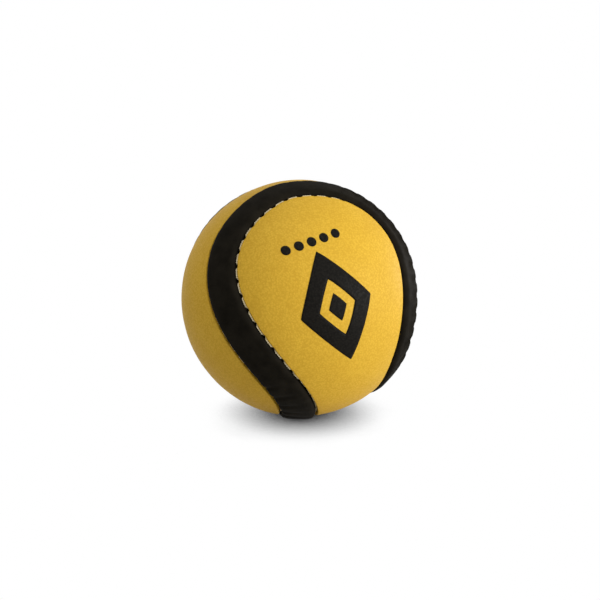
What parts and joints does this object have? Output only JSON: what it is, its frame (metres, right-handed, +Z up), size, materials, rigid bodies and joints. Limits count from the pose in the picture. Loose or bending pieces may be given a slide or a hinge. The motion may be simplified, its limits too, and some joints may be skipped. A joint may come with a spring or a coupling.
{
  "type": "baseball five ball",
  "caption": "Hand-sized hollow ball for a bare-handed street game, with a yellow two-panel cover, a raised black seam band and pale stitches along its edges.",
  "frame": {"origin": "centre of the ball", "axes": "+Z up as the ball lies in the picture, -Y the front with the printed panel, +X to the right of the front"},
  "size_m": [0.0646, 0.0648, 0.0654],
  "materials": {
    "core_rubber": "matt moulded rubber",
    "cement": "dull dried cement",
    "yellow_cover": "fine pebbled grain with a soft sheen",
    "black_band": "smooth with a soft sheen, drawn in at the stitch holes",
    "thread": "waxed twisted thread",
    "black_ink": "matt printed film that takes the grain of the panel"
  },
  "bodies": {
    "root": {"core_half_lower": "core_rubber", "core_half_upper": "core_rubber", "core_cement": "cement", "front_panel": "yellow_cover", "side_panel": "yellow_cover", "seam_band": "black_band", "front_stitches": "thread", "side_stitches": "thread", "print_mark": "black_ink"}
  },
  "joints": []
}
